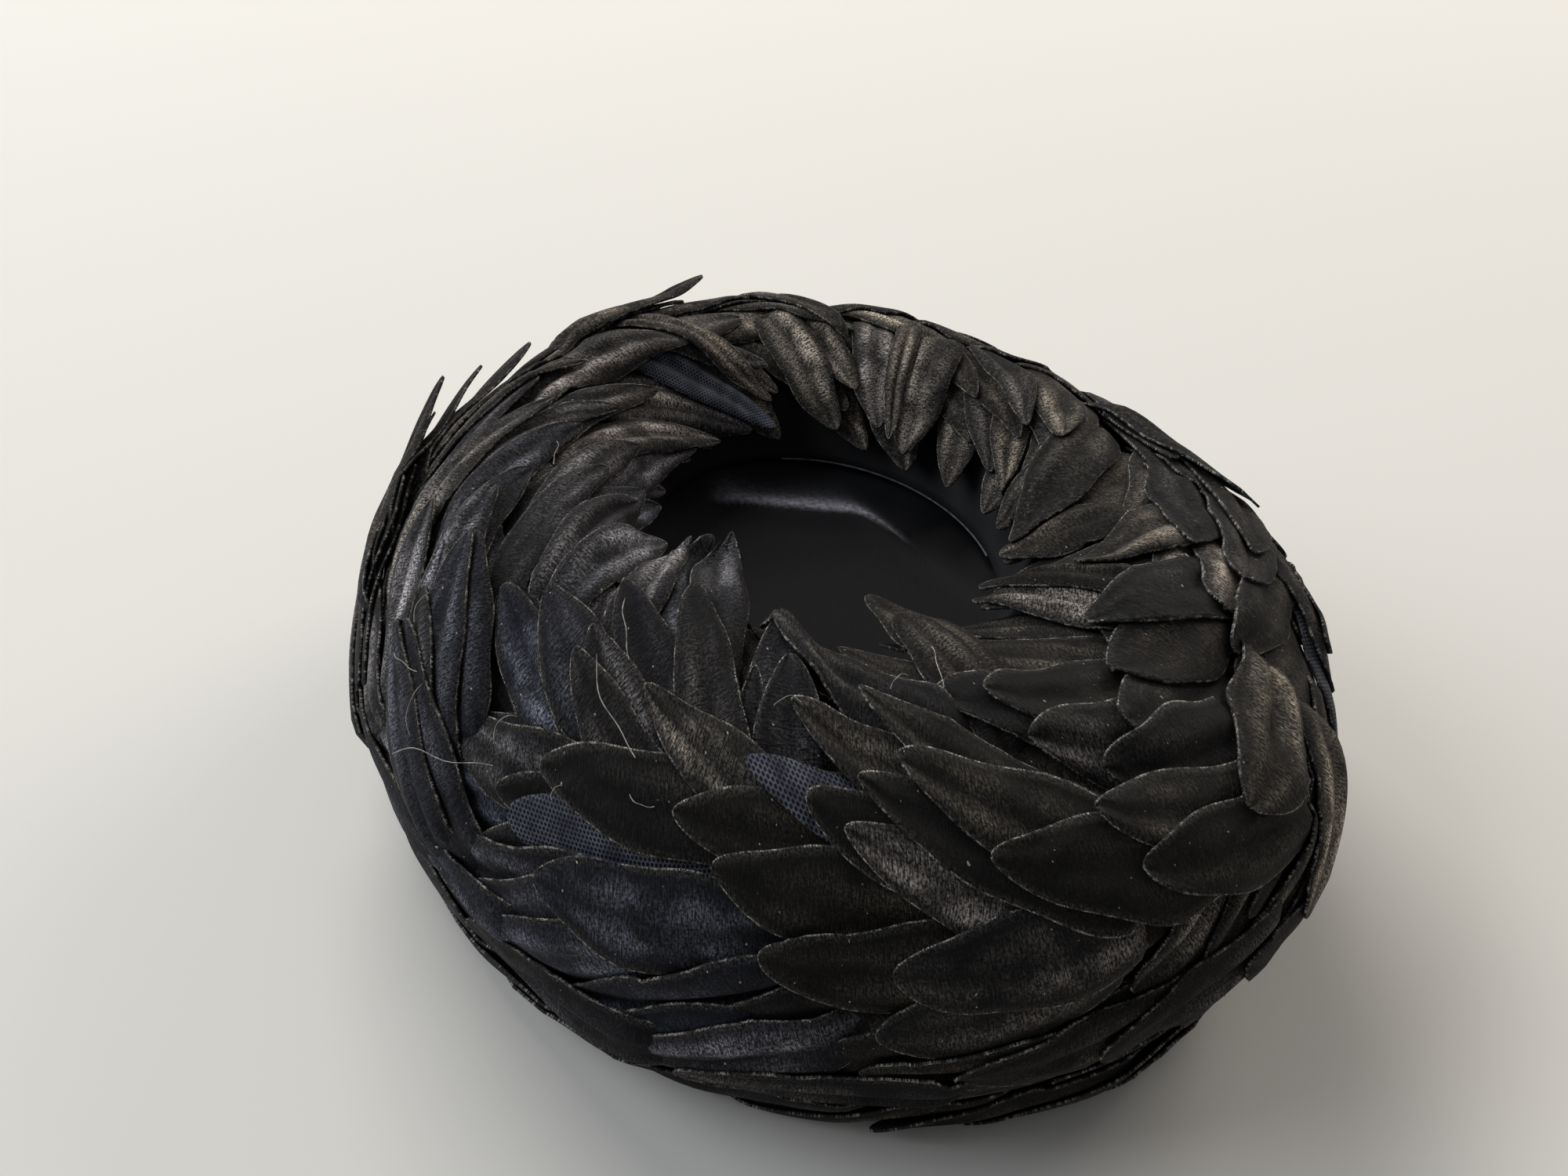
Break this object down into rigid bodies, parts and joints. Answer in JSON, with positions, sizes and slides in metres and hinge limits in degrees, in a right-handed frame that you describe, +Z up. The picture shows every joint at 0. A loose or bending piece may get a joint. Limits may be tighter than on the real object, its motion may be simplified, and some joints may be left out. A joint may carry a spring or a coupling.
{
  "type": "half hat",
  "caption": "Small oval velvet hat: a rolled crown covered with overlapping velvet petals in a swirl, round a sunken smooth velvet tip.",
  "frame": {"origin": "on the plane that the hat's rim rests on, below the middle of its outer size", "axes": "+Z up; +Y towards the back of the hat, along its longer way, so that the front is at -Y; +X to the wearer's left"},
  "size_m": [0.2008, 0.221, 0.082],
  "materials": {
    "petal velvet": "black cut-pile velvet with brown and blue lights in its crushed pile",
    "crown velvet": "black velvet over a stiff shaped base",
    "tip velvet": "smooth black velvet"
  },
  "bodies": {
    "root": {"crown_shell": "crown velvet", "crown_tip": "tip velvet", "petals_rim": "petal velvet", "petals_lower_side": "petal velvet", "petals_side": "petal velvet", "petals_upper_side": "petal velvet", "petals_shoulder": "petal velvet", "petals_crest": "petal velvet", "petals_inner": "petal velvet"}
  },
  "joints": []
}
